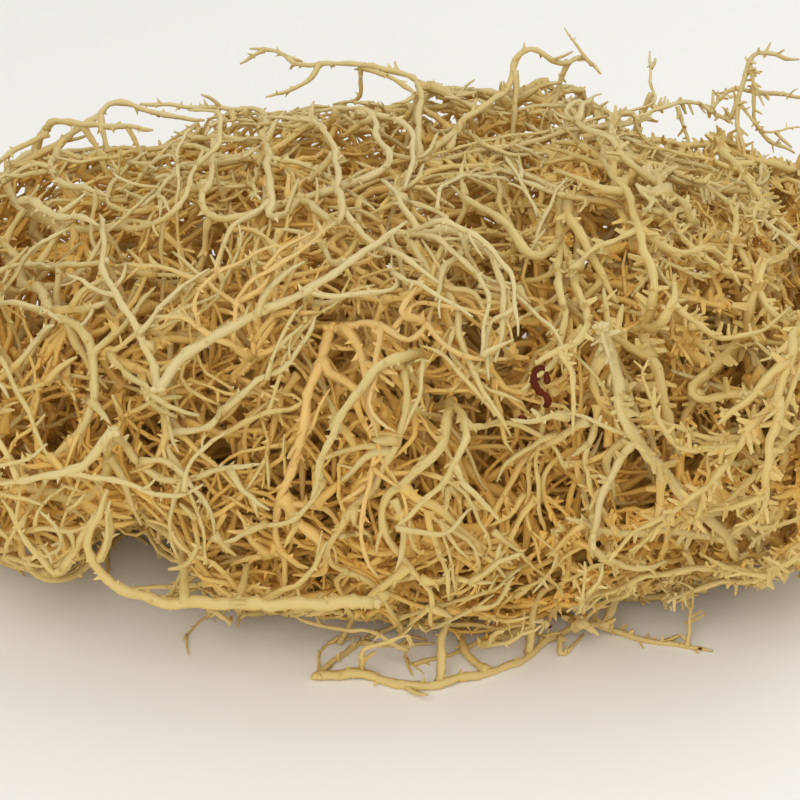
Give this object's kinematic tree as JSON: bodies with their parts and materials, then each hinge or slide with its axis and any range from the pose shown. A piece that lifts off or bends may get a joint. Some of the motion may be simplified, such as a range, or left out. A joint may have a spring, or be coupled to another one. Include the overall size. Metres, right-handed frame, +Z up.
{
  "type": "gracilaria seaweed",
  "caption": "Tangled clump of dried gracilaria seaweed: thin forking straw-coloured fronds, some with small thorns, lying loose over each other on a flat surface.",
  "frame": {"origin": "middle of the clump's extent across and back, on the surface it rests on", "axes": "+X to the right and +Y away from the viewer of the picture, along the clump's length and depth; +Z up"},
  "size_m": [0.2009, 0.134, 0.088],
  "materials": {
    "dried_amber": "dry, matt to satin",
    "dried_golden": "dry, matt to satin",
    "dried_pale": "dry, matt to satin",
    "dried_straw": "dry, matt to satin"
  },
  "bodies": {
    "root": {"frond_amber": "dried_amber", "frond_arch": "dried_straw", "frond_back_left": "dried_straw", "frond_back_low": "dried_straw", "frond_back_middle": "dried_straw", "frond_back_right": "dried_straw", "frond_bow": "dried_straw", "frond_brow": "dried_straw", "frond_burr": "dried_golden", "frond_crest": "dried_straw", "frond_curtain": "dried_straw", "frond_drape": "dried_straw", "frond_flank_left": "dried_straw", "frond_flank_right": "dried_golden", "frond_fork": "dried_straw", "frond_fringe": "dried_pale", "frond_heart": "dried_golden", "frond_horns": "dried_straw", "frond_plume": "dried_pale", "frond_rim": "dried_golden", "frond_side_left": "dried_straw", "frond_side_right": "dried_straw", "frond_spray": "dried_straw", "frond_sweep": "dried_straw", "frond_thorn": "dried_golden"}
  },
  "joints": []
}
